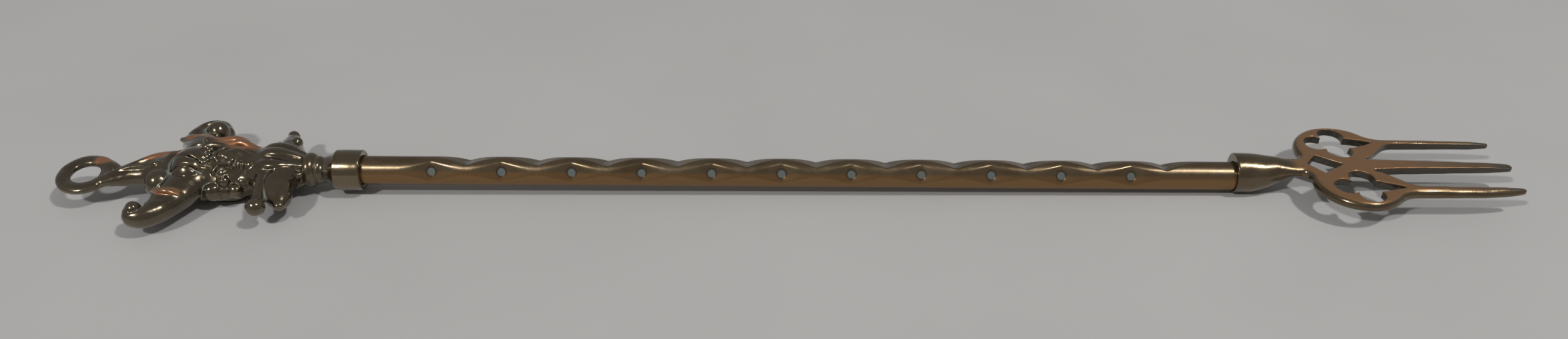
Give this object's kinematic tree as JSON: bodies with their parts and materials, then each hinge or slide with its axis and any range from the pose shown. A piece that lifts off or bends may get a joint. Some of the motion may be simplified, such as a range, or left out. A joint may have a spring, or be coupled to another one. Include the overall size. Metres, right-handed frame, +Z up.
{
  "type": "toasting fork",
  "caption": "Long toasting fork with a pierced three-tined cast head, a dimpled tube handle and a cast jester's head that ends in a hanging loop.",
  "frame": {"origin": "bottom centre of the fork as it lies on a table, its figure's flat back and its socket's lower side both touching the table", "axes": "+X along the handle towards the tines, +Y to the left of a viewer who looks from the loop to the tines, +Z up from the table"},
  "size_m": [0.4812, 0.06, 0.0181],
  "materials": {
    "fork_head": "cast brass, worn to a coppery tone",
    "handle_tube": "drawn brass tube, dark patina, polished high spots",
    "jester_finial": "cast brass, dark brown patina with green-grey residue in the recesses",
    "solder": "dull grey solder"
  },
  "bodies": {
    "root": {"fork_head": "fork_head", "handle_tube": "handle_tube", "jester_finial": "jester_finial", "head_solder": "solder", "finial_solder": "solder"}
  },
  "joints": []
}
